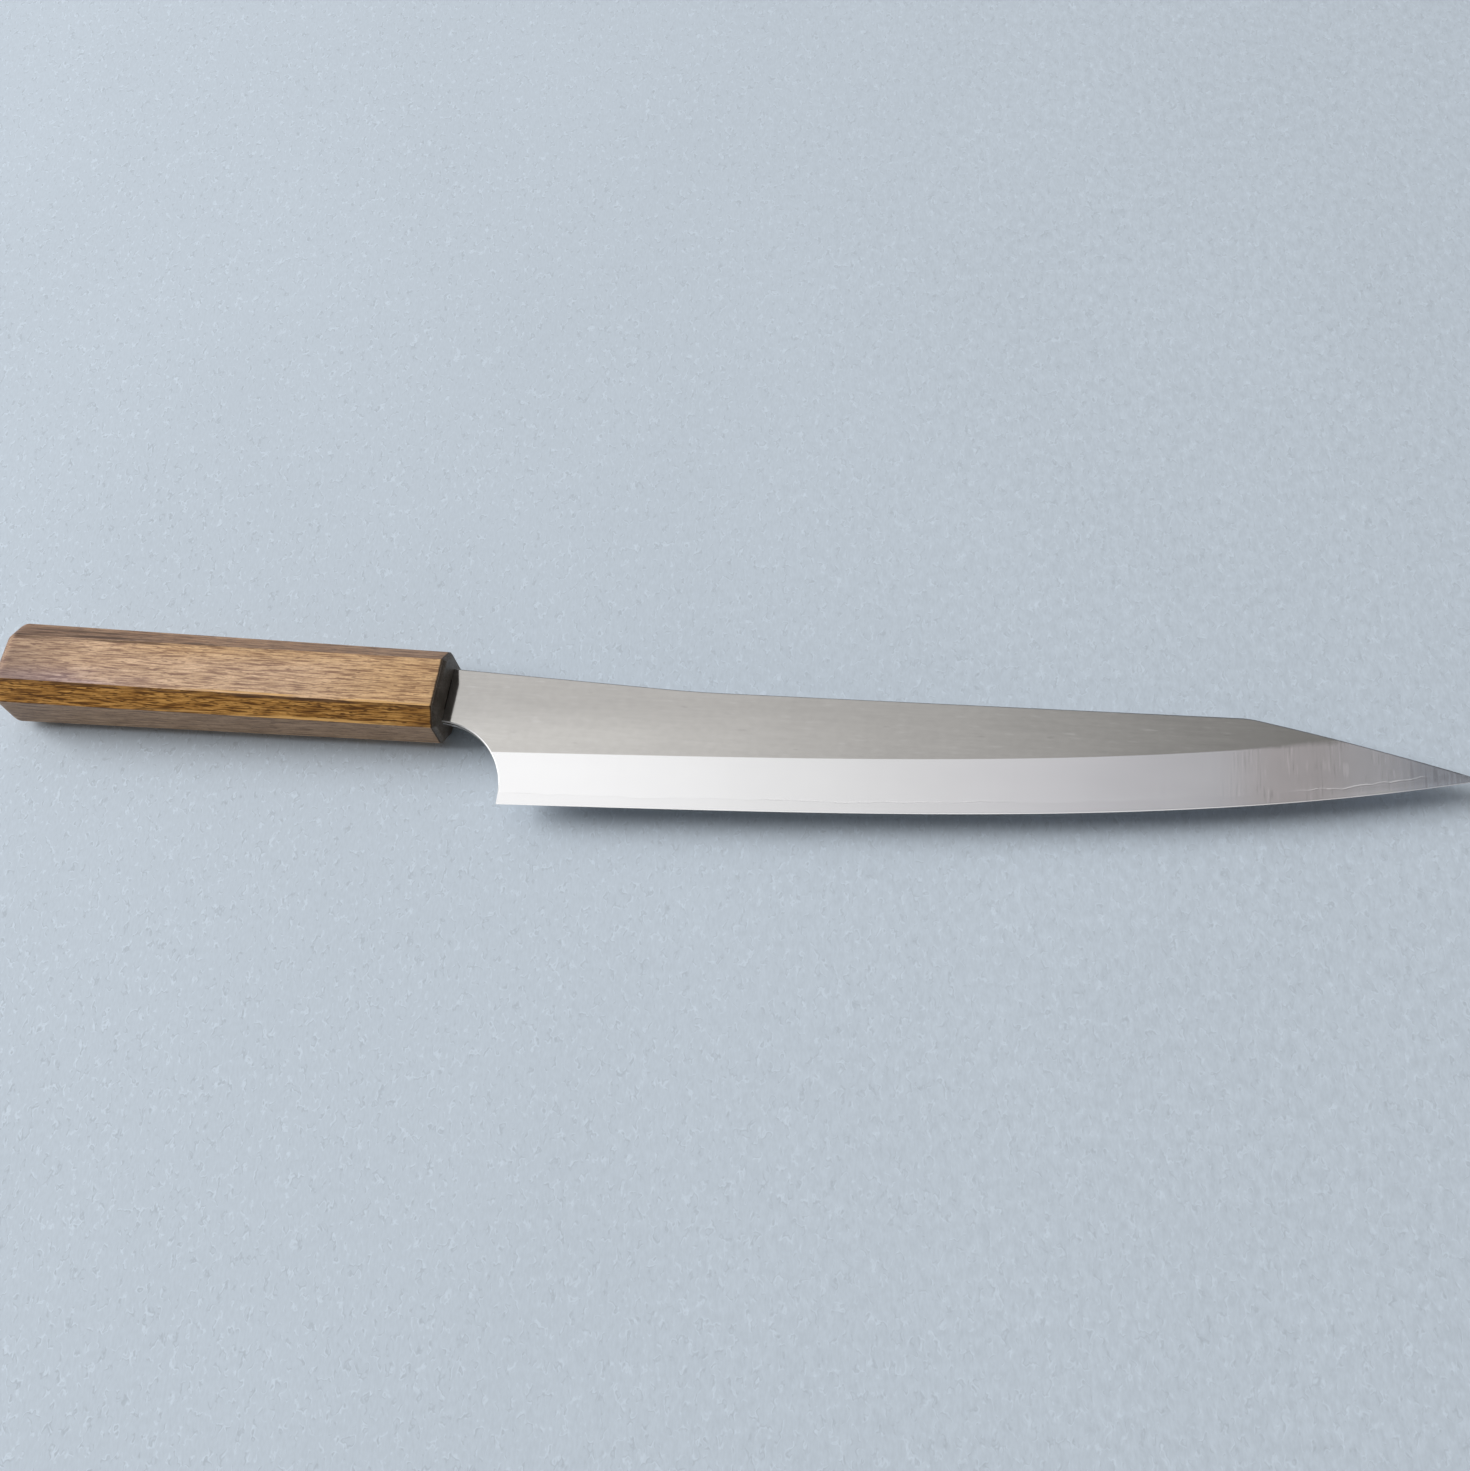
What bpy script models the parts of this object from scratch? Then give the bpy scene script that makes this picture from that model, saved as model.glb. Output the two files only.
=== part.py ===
"""Sujihiki: a long slicing knife with a laminated blade and an eight-sided wooden handle.

The knife is drawn in its own frame: X runs from the handle to the tip and is 0 where the wood ends,
Y runs up to the spine and Z through the thickness. The handle tapers, so a knife that lies on one
flat of it leans a little towards its tip, and an empty carries every part in that lying place.
"""

import math

import bmesh
import bpy
import numpy as np
from mathutils import Matrix

# Blade seen from its side
HEEL_REACH = 0.0222  # from the wood's front end to the heel, and the radius of the choil between them
HEEL_DROP = 0.0331  # the heel's corner below the handle's axis
EDGE_RUN = 0.2668  # heel to tip along X: 268 mm measured along the chord
EDGE_RISE = 0.0117  # how far the straight run of the edge climbs by the tip
BELLY_RISE = 0.0153  # what the belly adds to that by the tip
BELLY_POWER = 3.65  # a higher power keeps the belly nearer the tip
NECK_ABOVE = 0.0091  # spine above the handle's axis, where it leaves the wood
NECK_BELOW = 0.0086  # underside of the neck below the axis
NECK_FALL = 0.039  # slope of the spine over the neck, downwards
BACK_START = 0.0745  # where the neck's slope gives way to the long back
BACK_RISE = 0.013  # slope of the back, upwards
BACK_BLEND = 0.0005  # softness of the bend between them
CLIP_LENGTH = 0.0598  # the clipped point, along X
CLIP_BULGE = 0.00065  # how far the clip bows out from a straight line
CLIP_BLEND = 0.0005  # softness of the corner above the clip

# Blade through its thickness
MOUTH_THICKNESS = 0.0028
TIP_THICKNESS = 0.0007
CORE_MOUTH = 0.00057
CORE_TIP = 0.00018
BEVEL_AT_HEEL = 0.0159  # wide bevel, from the edge up to the ridge line
BEVEL_AT_TIP = 0.0169
MICRO_HEIGHT = 0.0006  # small bevel that carries the edge itself
MICRO_HALF = 0.00006
EDGE_HALF = 0.00001
SPINE_EASE = 0.00025
WELD_GAP = 0.00003  # between the layers

# Tang
TANG_LENGTH = 0.095
TANG_ROOT = 0.0060  # half heights behind the shoulder and at the end
TANG_END = 0.0035
NECK_INSET = 0.0080  # how far the neck goes into the wood before the shoulder
SHOULDER = 0.0030

# Handle
HANDLE_LENGTH = 0.1410
MOUTH_WALL = 0.00385  # wood above and below the slot, at the front
FRONT_THICKNESS = 0.0184
FRONT_CHAMFER = (0.0049, 0.0043)  # along Y and along Z
BUTT_WIDTH = 0.0276
BUTT_THICKNESS = 0.0202
BUTT_CHAMFER = (0.0062, 0.0037)
BUTT_ROUND = 0.0032
CAP_THICKNESS = 0.0012
CAP_CHAMFER = 0.0009
BEDDING = 0.0006  # resin round the tang
GLUE_GAP = 0.0001  # between parts that are glued together
BEDDING_RECESS = 0.0004  # the resin stops this far behind the cap's face

FRONT_WIDTH = NECK_ABOVE + NECK_BELOW + 2 * MOUTH_WALL
TIP_X = HEEL_REACH + EDGE_RUN
TIP_Y = EDGE_RISE + BELLY_RISE - HEEL_DROP
CORNER_X = TIP_X - CLIP_LENGTH
MERGE = 1e-6

CHOIL_STEPS = 14
BACK_STEPS = 16
CLIP_STEPS = 18
BUTT_STEPS = 5


def mix(a, b, share):
    return a + (b - a) * share


def span(start, end, steps):
    """Evenly spaced values from start up to, but not including, end."""
    return [mix(start, end, i / steps) for i in range(steps)]


def soft_min(a, b, blend):
    """The smaller of a and b, with the corner between them rounded off."""
    share = min(max(0.5 + 0.5 * (b - a) / blend, 0.0), 1.0)
    return mix(b, a, share) - blend * share * (1 - share)


def crossing(gap, low, high):
    """Where gap(x) changes sign between low and high."""
    for _ in range(50):
        middle = (low + high) / 2
        if (gap(middle) > 0) == (gap(low) > 0):
            low = middle
        else:
            high = middle
    return (low + high) / 2


def edge_y(x):
    """Straight run that climbs slowly from the heel, plus a belly that grows as a power."""
    along = (x - HEEL_REACH) / EDGE_RUN
    return EDGE_RISE * along + BELLY_RISE * max(along, 0.0) ** BELLY_POWER - HEEL_DROP


def bevel_height(x):
    """From the edge up to the ridge line, a little more towards the tip."""
    return mix(BEVEL_AT_HEEL, BEVEL_AT_TIP, (x - HEEL_REACH) / EDGE_RUN)


def back_line(x):
    """The spine without its clip: down over the neck, then slowly up again."""
    neck = NECK_ABOVE - NECK_FALL * x
    back = NECK_ABOVE - NECK_FALL * BACK_START + BACK_RISE * (x - BACK_START)
    return -soft_min(-neck, -back, BACK_BLEND)


def spine_y(x):
    """The spine from the handle to the tip, where the bowed clip brings it down to the edge."""
    along = (x - CORNER_X) / CLIP_LENGTH
    clip = mix(back_line(CORNER_X), TIP_Y, along) + 4 * CLIP_BULGE * max(along, 0.0) * (1 - along)
    return max(soft_min(back_line(x), clip, CLIP_BLEND), edge_y(x))


def tapered(at_mouth, at_tip, x):
    """A thickness that falls evenly from the handle to the tip and stays level in the handle."""
    return mix(at_mouth, at_tip, min(max(x / TIP_X, 0.0), 1.0))


def half_thickness(x, y):
    """Half the blade's thickness: the small bevel, the wide bevel, then the flat."""
    flat = tapered(MOUTH_THICKNESS, TIP_THICKNESS, x) / 2
    above_edge = y - edge_y(x)
    return float(np.interp(above_edge, [0, MICRO_HEIGHT, bevel_height(x)], [EDGE_HALF, MICRO_HALF, flat]))


def level_on_bevel(x, half):
    """The height at which the bevel reaches this half thickness."""
    flat = tapered(MOUTH_THICKNESS, TIP_THICKNESS, x) / 2
    above_edge = np.interp(half, [EDGE_HALF, MICRO_HALF, flat], [0, MICRO_HEIGHT, bevel_height(x)])
    return edge_y(x) + float(above_edge)


def core_half(x):
    return tapered(CORE_MOUTH, CORE_TIP, x) / 2


def cladding_foot(x):
    """Where the cladding's inner face comes out of the bevel."""
    return level_on_bevel(x, core_half(x) + WELD_GAP)


def choil_point(angle):
    """A point on the arc from under the neck to above the heel, and never below the edge."""
    x = HEEL_REACH * math.sin(angle)
    y = HEEL_REACH * (math.cos(angle) - 1) - NECK_BELOW
    return x, max(y, edge_y(x))


def tang_outline(grow=0.0):
    """(x, bottom, top) from the tang's end to the wood's front end, grown by an offset."""
    shoulder = -NECK_INSET - SHOULDER
    below = NECK_BELOW + grow
    above = NECK_ABOVE + grow
    return [
        (-TANG_LENGTH - grow, -TANG_END - grow, TANG_END + grow),
        (shoulder - grow, -TANG_ROOT - grow, TANG_ROOT + grow),
        (-NECK_INSET - grow, -below, above),
        (0.0, -below, above),
    ]


def blade_outline(end_x):
    """(x, bottom, top) of each section from the tang's end to end_x, with the bevels' starts among them."""
    angles = span(0, math.pi / 2, CHOIL_STEPS)[1:] + [math.pi / 2]

    def above_ridge(angle):
        x, y = choil_point(angle)
        return y - edge_y(x) - bevel_height(x)

    def above_core(angle):
        x, y = choil_point(angle)
        return y - level_on_bevel(x, core_half(x))

    angles += [crossing(above_ridge, 0.0, math.pi / 2), crossing(above_core, 0.0, math.pi / 2)]
    arc = [choil_point(angle) for angle in sorted(angles)]
    body_x = span(HEEL_REACH, BACK_START, BACK_STEPS // 2) + span(BACK_START, CORNER_X, BACK_STEPS)
    body_x += span(CORNER_X, end_x, CLIP_STEPS) + [end_x]
    sections = [(x, bottom, spine_y(x)) for x, bottom in arc]
    sections += [(x, edge_y(x), spine_y(x)) for x in body_x]
    return tang_outline() + sections


def core_ring(x, bottom, top):
    """The core in section: the edge, the small bevel, the start of its parallel faces and the top."""
    half = core_half(x)
    micro = min(max(edge_y(x) + MICRO_HEIGHT, bottom), top)
    parallel = min(max(level_on_bevel(x, half), bottom), top)
    side = [(y, min(half, half_thickness(x, y))) for y in (bottom, micro, parallel, top)]
    return [(x, y, z) for y, z in side] + [(x, y, -z) for y, z in reversed(side)]


def cladding_ring(x, bottom, top, side):
    """One outer layer in section, from its foot on the bevel up to the eased corner of the spine."""
    inner = core_half(x) + WELD_GAP
    foot = min(max(cladding_foot(x), bottom), top)
    outer_top = max(half_thickness(x, top), inner)
    ease = min(SPINE_EASE, 0.4 * (outer_top - inner), 0.4 * (top - foot))
    ridge = min(max(edge_y(x) + bevel_height(x), foot), top - ease)
    points = [
        (foot, inner),
        (foot, max(half_thickness(x, foot), inner)),
        (ridge, max(half_thickness(x, ridge), inner)),
        (top - ease, max(half_thickness(x, top - ease), inner)),
        (top, outer_top - ease),
        (top, inner),
    ]
    return [(x, y, side * z) for y, z in points]


def box_ring(x, bottom, top, half):
    return [(x, bottom, half), (x, top, half), (x, top, -half), (x, bottom, -half)]


def handle_ring(x):
    """The handle's eight corners at x, wider and thicker towards the butt."""
    back = -x / HANDLE_LENGTH
    wide = mix(FRONT_WIDTH, BUTT_WIDTH, back) / 2
    thick = mix(FRONT_THICKNESS, BUTT_THICKNESS, back) / 2
    flat_y = wide - mix(FRONT_CHAMFER[0], BUTT_CHAMFER[0], back)
    flat_z = thick - mix(FRONT_CHAMFER[1], BUTT_CHAMFER[1], back)
    quarter = [(wide, flat_z), (flat_y, thick)]
    upper = quarter + [(-y, z) for y, z in reversed(quarter)]
    return [(x, y, z) for y, z in upper] + [(x, -y, -z) for y, z in upper]


def clear_scene():
    for obj in list(bpy.data.objects):
        bpy.data.objects.remove(obj)


def make_material(name, colour, roughness, metallic):
    material = bpy.data.materials.new(name)
    material.use_nodes = True
    shader = material.node_tree.nodes["Principled BSDF"]
    shader.inputs["Base Color"].default_value = (*colour, 1.0)
    shader.inputs["Roughness"].default_value = roughness
    shader.inputs["Metallic"].default_value = metallic
    material.diffuse_color = (*colour, 1.0)
    return material


def loft(name, rings, collection):
    """A closed skin through sections of equal count. Points that meet are made one."""
    skin = bmesh.new()
    loops = [[skin.verts.new(point) for point in ring] for ring in rings]
    count = len(loops[0])
    for near, far in zip(loops, loops[1:]):
        for i in range(count):
            j = (i + 1) % count
            skin.faces.new((near[i], near[j], far[j], far[i]))
    skin.faces.new(loops[0])
    skin.faces.new(loops[-1])
    bmesh.ops.remove_doubles(skin, verts=skin.verts, dist=MERGE)
    bmesh.ops.recalc_face_normals(skin, faces=skin.faces)
    mesh = bpy.data.meshes.new(name)
    skin.to_mesh(mesh)
    skin.free()
    obj = bpy.data.objects.new(name, mesh)
    collection.objects.link(obj)
    return obj


def finish_part(obj, material, resting):
    obj.data.materials.append(material)
    obj.parent = resting
    return obj


def bevel_end(obj, x, width, segments):
    """Bevels only the edges that lie in the end plane at x."""
    weights = obj.data.attributes.new("bevel_weight_edge", "FLOAT", "EDGE")
    for edge in obj.data.edges:
        ends = [obj.data.vertices[index].co.x for index in edge.vertices]
        weights.data[edge.index].value = float(all(abs(end - x) < MERGE for end in ends))
    bevel = obj.modifiers.new("Bevel", "BEVEL")
    bevel.limit_method = "WEIGHT"
    bevel.width = width
    bevel.segments = segments


def cut(obj, cutter):
    boolean = obj.modifiers.new("Cut " + cutter.name, "BOOLEAN")
    boolean.operation = "DIFFERENCE"
    boolean.object = cutter


def tang_solid(name, grow, front, collection, resting):
    """The tang and neck as a plain tapered bar, grown by an offset and ending at front."""
    half = MOUTH_THICKNESS / 2 + grow
    outline = tang_outline(grow)
    outline[-1] = (front, *outline[-1][1:])
    obj = loft(name, [box_ring(*section, half) for section in outline], collection)
    obj.parent = resting
    return obj


def make_cutter(name, grow, front, collection, resting):
    obj = tang_solid(name, grow, front, collection, resting)
    obj.hide_render = True
    obj.display_type = "WIRE"
    return obj


def make_resting_place(collection):
    """The empty that lays the knife on the handle's lower flat, centred over the origin."""
    lean = math.atan2(BUTT_THICKNESS - FRONT_THICKNESS, 2 * HANDLE_LENGTH)
    lift = FRONT_THICKNESS / 2 * math.cos(lean)
    length_centre = (TIP_X - HANDLE_LENGTH) / 2 * math.cos(lean)
    widest = max(y for _, y, _ in handle_ring(BUTT_ROUND - HANDLE_LENGTH))
    width_centre = (widest - HEEL_DROP) / 2
    resting = bpy.data.objects.new("lying_on_its_handle", None)
    place = Matrix.Translation((-length_centre, -width_centre, lift))
    resting.matrix_world = place @ Matrix.Rotation(lean, 4, "Y")
    collection.objects.link(resting)
    return resting


def make_blade(collection, resting):
    steel = make_material("core_steel", (0.52, 0.52, 0.51), 0.28, 1.0)
    iron = make_material("cladding_steel", (0.60, 0.59, 0.57), 0.38, 1.0)
    core_rings = [core_ring(*section) for section in blade_outline(TIP_X)]
    finish_part(loft("blade_core", core_rings, collection), steel, resting)
    cladding_end = crossing(lambda x: spine_y(x) - cladding_foot(x), CORNER_X, TIP_X)
    outline = blade_outline(cladding_end)
    for name, side in (("cladding_show_side", 1), ("cladding_rear_side", -1)):
        rings = [cladding_ring(*section, side) for section in outline]
        finish_part(loft(name, rings, collection), iron, resting)


def make_handle(collection, cutters, resting):
    wood = make_material("oak", (0.42, 0.25, 0.12), 0.55, 0.0)
    rings = [handle_ring(-HANDLE_LENGTH), handle_ring(0.0)]
    handle = finish_part(loft("handle_wood", rings, collection), wood, resting)
    bevel_end(handle, -HANDLE_LENGTH, BUTT_ROUND, BUTT_STEPS)
    bore_grow = BEDDING + 2 * GLUE_GAP
    cut(handle, make_cutter("tang_bore", bore_grow, CAP_THICKNESS, cutters, resting))


def make_front_cap(collection, cutters, resting):
    black = make_material("black_cap", (0.02, 0.02, 0.02), 0.45, 0.0)
    rings = [handle_ring(GLUE_GAP), handle_ring(CAP_THICKNESS)]
    cap = finish_part(loft("front_cap", rings, collection), black, resting)
    bevel_end(cap, CAP_THICKNESS, CAP_CHAMFER, 1)
    slot_grow = BEDDING + 2 * GLUE_GAP
    cut(cap, make_cutter("cap_slot", slot_grow, 2 * CAP_THICKNESS, cutters, resting))


def make_bedding(collection, cutters, resting):
    resin = make_material("bedding_resin", (0.012, 0.011, 0.010), 0.5, 0.0)
    front = CAP_THICKNESS - BEDDING_RECESS
    bedding = tang_solid("tang_bedding", BEDDING + GLUE_GAP, front, collection, resting)
    bedding.data.materials.append(resin)
    cut(bedding, make_cutter("tang_space", GLUE_GAP, 2 * CAP_THICKNESS, cutters, resting))


def main():
    clear_scene()
    knife = bpy.data.collections.new("sujihiki_knife")
    cutters = bpy.data.collections.new("cutters")
    for collection in (knife, cutters):
        bpy.context.scene.collection.children.link(collection)
    resting = make_resting_place(knife)
    make_blade(knife, resting)
    make_handle(knife, cutters, resting)
    make_front_cap(knife, cutters, resting)
    make_bedding(knife, cutters, resting)


main()
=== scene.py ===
import math

import bmesh
import bpy
import numpy as np
from mathutils import Matrix, Vector


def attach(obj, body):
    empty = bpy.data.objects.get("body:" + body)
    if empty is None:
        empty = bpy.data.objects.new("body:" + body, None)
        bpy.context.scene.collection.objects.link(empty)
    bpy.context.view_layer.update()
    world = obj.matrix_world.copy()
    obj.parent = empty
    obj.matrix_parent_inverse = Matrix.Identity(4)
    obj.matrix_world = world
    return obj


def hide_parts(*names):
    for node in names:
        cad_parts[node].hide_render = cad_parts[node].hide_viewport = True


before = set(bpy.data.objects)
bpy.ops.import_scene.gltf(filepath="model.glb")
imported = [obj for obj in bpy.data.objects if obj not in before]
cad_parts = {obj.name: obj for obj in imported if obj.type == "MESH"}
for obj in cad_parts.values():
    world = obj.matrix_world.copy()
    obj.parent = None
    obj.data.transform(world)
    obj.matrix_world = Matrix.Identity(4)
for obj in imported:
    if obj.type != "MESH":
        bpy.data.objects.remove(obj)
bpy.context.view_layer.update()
print("frame loaded:", ", ".join(sorted(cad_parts)))

mm = 0.001

# The knife's own sizes, as the solids were made. X runs from the wood's front end to the tip,
# Y up to the spine and Z through the thickness.
blade = {
    "heelReach": 22.2 * mm,  # wood to heel, also the radius of the choil
    "heelDrop": 33.1 * mm,
    "edgeRun": 266.8 * mm,
    "edgeRise": 11.7 * mm,
    "bellyRise": 15.3 * mm,
    "bellyPower": 3.65,
    "neckAbove": 9.1 * mm,
    "neckBelow": 8.6 * mm,
    "neckFall": 0.039,
    "backStart": 74.5 * mm,
    "backRise": 0.013,
    "backBlend": 0.5 * mm,
    "clipLength": 59.8 * mm,
    "clipBulge": 0.65 * mm,
    "clipBlend": 0.5 * mm,
    "mouthThickness": 2.8 * mm,
    "tipThickness": 0.7 * mm,
    "coreMouth": 0.57 * mm,
    "coreTip": 0.18 * mm,
    "bevelAtHeel": 15.9 * mm,
    "bevelAtTip": 16.9 * mm,
    "microHeight": 0.6 * mm,
    "microHalf": 0.06 * mm,
    "edgeHalf": 0.01 * mm,
    "weldGap": 0.008 * mm,
    "rimWidth": 0.36 * mm,  # bright eased corner of the choil
    "spineEase": 0.25 * mm,
    "easeSlope": 0.60,  # drop of an eased corner over its width
    # Each wave is a height and a length in mm; they grow to it over wavesGrow
    "weldWaves": ((0.16 * mm, 61.0), (0.12 * mm, 27.0), (0.10 * mm, 14.5), (0.06 * mm, 8.3)),
    "wavesGrow": 5 * mm,
    "tangLength": 95 * mm,
    "tangRoot": 6 * mm,
    "tangEnd": 3.5 * mm,
    "neckInset": 8 * mm,
    "shoulder": 3 * mm,
    # How finely the surface is divided
    "choilSteps": 72,
    "bodySteps": 130,
    "cornerSteps": 21,
    "clipSteps": 75,
    "heelSteps": (0, 0.02, 0.06, 0.11, 0.17, 0.24, 0.32),  # in mm from the heel
    "bodyStart": 1 * mm,
    "cornerReach": 2.5 * mm,  # close steps on both sides of the clip's corner
    "cornerClear": 3 * mm,
    "crowd": (0, 0.03, 0.25, 0.5, 0.75),  # levels across an eased corner
    "bevelLevels": 24,
    "flatLevels": 17,
    "plainBand": 0.05 * mm,  # lowest band of a cladding behind the heel
    "bandShare": 0.4,  # most of the height that one band may take
    "steepest": 0.02,  # caps the rim's height where the choil's arc stands upright
    "thinnest": 0.004 * mm,  # least thickness of a cladding
    "easeShare": 0.7,  # most of the thickness that an eased corner may take
    "stripShares": (0.25, 0.5, 0.75),  # levels of the core between its small bevel and its faces
}

handle = {
    "length": 141 * mm,
    "frontSize": (25.4 * mm, 18.4 * mm),  # along Y and Z
    "buttSize": (27.6 * mm, 20.2 * mm),
    "frontChamfer": (4.9 * mm, 4.3 * mm),
    "buttChamfer": (6.2 * mm, 3.7 * mm),
    "buttRound": 3.2 * mm,
    "domeSize": (5.2 * mm, 5.6 * mm),  # rounding of the butt along the handle and inwards
    "cornerRadius": 0.28 * mm,  # how far the eight long corners are eased
    "buttCornerRadius": 2.6 * mm,
    "capThickness": 1.2 * mm,
    "capChamfer": 0.9 * mm,
    "glueGap": 0.1 * mm,
    "slitWidth": 0.35 * mm,
    "fillerFace": 0.4 * mm,
    "slotRoom": 0.8 * mm,  # resin and glue round the tang
    "fillerStep": 0.05 * mm,
    "capRear": (0.04 * mm, 0.08 * mm),  # eased rear corner, along X and inwards
    "capEase": (0.06 * mm, 0.05 * mm),  # from a chamfer's corner, on the flat and on the chamfer
    "capFace": 0.4 * mm,
    "domeSteps": 15,
    "afterDome": 0.4 * mm,
    "bodyEnds": (-130 * mm, -4 * mm),
    "bodySteps": 24,
    "frontX": (-0.15 * mm, -0.03 * mm, 0.0),
    "frontInset": (0.02 * mm, 0.1 * mm),
    "arcSteps": 6,
    "support": 0.25 * mm,  # beside each eased corner, so that flats stay flat
    "woodSmooth": 32,  # degrees under which edges are shaded smooth
    "capSmooth": 24,
}

tipX = blade["heelReach"] + blade["edgeRun"]
tipY = blade["edgeRise"] + blade["bellyRise"] - blade["heelDrop"]
cornerX = tipX - blade["clipLength"]
choilY = -blade["neckBelow"] - blade["heelReach"]  # height of the choil's centre


def mix(a, b, share):  # from a at 0 straight to b at 1
    return a + (b - a) * share


# The knife lies on the lower flat of its tapering handle, so it leans towards the tip by
# half the taper over the length. The plan centre of the whole goes over the origin.
lean = math.atan2(handle["buttSize"][1] - handle["frontSize"][1], 2 * handle["length"])
widestShare = 1 - handle["buttRound"] / handle["length"]
widest = mix(handle["frontSize"][0], handle["buttSize"][0], widestShare) / 2
restPlace = Matrix.Translation((
    -(tipX - handle["length"]) / 2 * math.cos(lean),
    -(widest - blade["heelDrop"]) / 2,
    handle["frontSize"][1] / 2 * math.cos(lean),
)) @ Matrix.Rotation(lean, 4, "Y")


def layDown(points):  # knife's own frame to the row's frame
    turn = np.array(restPlace.to_3x3())
    return points @ turn.T + np.array(restPlace.translation)


# Blade outline and thickness, all on whole arrays

def softMin(a, b, blend):  # the smaller, with a parabola over the corner
    share = np.clip(0.5 + 0.5 * (b - a) / blend, 0, 1)
    return mix(b, a, share) - blend * share * (1 - share)


def edgeY(x):  # a straight slow climb plus a power of the distance from the heel
    along = (x - blade["heelReach"]) / blade["edgeRun"]
    belly = blade["bellyRise"] * np.maximum(along, 0) ** blade["bellyPower"]
    return blade["edgeRise"] * along + belly - blade["heelDrop"]


def bevelRise(x):  # height of the ridge line over the edge, straight from heel to tip
    return mix(blade["bevelAtHeel"], blade["bevelAtTip"], (x - blade["heelReach"]) / blade["edgeRun"])


def backY(x):  # down along the neck, then up along the back
    neck = blade["neckAbove"] - blade["neckFall"] * x
    turnY = blade["neckAbove"] - blade["neckFall"] * blade["backStart"]
    back = turnY + blade["backRise"] * (x - blade["backStart"])
    return -softMin(-neck, -back, blade["backBlend"])


def spineY(x):  # the back, cut by a clip that bows out as a parabola over its chord
    along = (x - cornerX) / blade["clipLength"]
    bow = 4 * blade["clipBulge"] * np.maximum(along, 0) * (1 - along)
    clip = mix(backY(cornerX), tipY, along) + bow
    return np.maximum(softMin(backY(x), clip, blade["clipBlend"]), edgeY(x))


def tapered(atMouth, atTip, x):  # straight from the handle's mouth to the tip
    return mix(atMouth, atTip, np.clip(x / tipX, 0, 1))


def flatHalf(x):  # half of the blade's thickness above the ridge line
    return tapered(blade["mouthThickness"], blade["tipThickness"], x) / 2


def coreHalf(x):  # half of the core's thickness
    return tapered(blade["coreMouth"], blade["coreTip"], x) / 2


def halfThickness(x, y):  # small bevel, then wide bevel, then the flat
    rise = y - edgeY(x)
    small = mix(blade["edgeHalf"], blade["microHalf"], np.clip(rise / blade["microHeight"], 0, 1))
    up = np.clip((rise - blade["microHeight"]) / (bevelRise(x) - blade["microHeight"]), 0, 1)
    return small + (flatHalf(x) - blade["microHalf"]) * up


def footY(x, inner):  # where the wide bevel is as thick as inner
    share = (inner - blade["microHalf"]) / (flatHalf(x) - blade["microHalf"])
    return edgeY(x) + mix(blade["microHeight"], bevelRise(x), share)


def easeOff(distance, width):  # drop of an eased corner at this distance from it
    return blade["easeSlope"] * np.maximum(width - distance, 0)


def weldY(x):  # where a cladding ends on the wide bevel: its own height plus a few waves
    waves = sum(
        high * np.sin(2 * math.pi * x / (long * mm) + long)
        for high, long in blade["weldWaves"]
    )
    grown = np.clip((x - blade["heelReach"]) / blade["wavesGrow"], 0, 1)
    return footY(x, coreHalf(x) + blade["weldGap"]) + grown * waves


def choilDistance(x, y):  # from the neck's underside, the choil's arc or the wall above the heel
    arc = np.hypot(x, y - choilY) - blade["heelReach"]
    return np.where(x <= 0, y + blade["neckBelow"], np.where(y > choilY, arc, x - blade["heelReach"]))


def bladeStations():  # (x, bottom, top) of every cross-section, denser round the choil and the clip
    tang = np.array([
        (-blade["tangLength"], -blade["tangEnd"], blade["tangEnd"]),
        (-blade["neckInset"] - blade["shoulder"], -blade["tangRoot"], blade["tangRoot"]),
        (-blade["neckInset"], -blade["neckBelow"], blade["neckAbove"]),
        (0, -blade["neckBelow"], blade["neckAbove"]),
    ])
    angle = np.linspace(0, math.pi / 2, blade["choilSteps"] + 1)[1:]
    choilX = blade["heelReach"] * np.sin(angle)
    choilBottom = choilY + blade["heelReach"] * np.cos(angle)
    reach, clear = blade["cornerReach"], blade["cornerClear"]
    heel = blade["heelReach"] + np.array(blade["heelSteps"]) * mm
    body = np.linspace(blade["heelReach"] + blade["bodyStart"], cornerX - clear, blade["bodySteps"])
    corner = np.linspace(cornerX - reach, cornerX + reach, blade["cornerSteps"])
    clip = np.linspace(cornerX + clear, tipX, blade["clipSteps"])
    x = np.concatenate([heel, body, corner, clip])
    return np.concatenate([
        tang,
        np.stack([choilX, np.maximum(choilBottom, edgeY(choilX)), spineY(choilX)], 1),
        np.stack([x, edgeY(x), spineY(x)], 1),
    ])


# Meshes

mergeDistance = 1e-7


def gridMesh(name, rings, attributes=(), wrap=False):
    # Quads between neighbouring rings of points. The ends are closed, or joined with wrap.
    count, size = rings.shape[:2]
    index = np.arange(count * size).reshape(count, size)
    near, far = (index, np.roll(index, -1, 0)) if wrap else (index[:-1], index[1:])
    quads = np.stack([near, np.roll(near, -1, 1), np.roll(far, -1, 1), far], -1).reshape(-1, 4)
    ends = [] if wrap else [index[0].tolist(), index[-1][::-1].tolist()]
    mesh = bpy.data.meshes.new(name)
    mesh.from_pydata(rings.reshape(-1, 3), [], quads.tolist() + ends)
    for label, values in attributes:
        made = mesh.attributes.new(label, "FLOAT", "POINT")
        made.data.foreach_set("value", values.astype(np.float32).ravel())
    skin = bmesh.new()
    skin.from_mesh(mesh)
    bmesh.ops.remove_doubles(skin, verts=skin.verts, dist=mergeDistance)
    bmesh.ops.recalc_face_normals(skin, faces=skin.faces)
    skin.to_mesh(mesh)
    skin.free()
    return mesh


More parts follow.
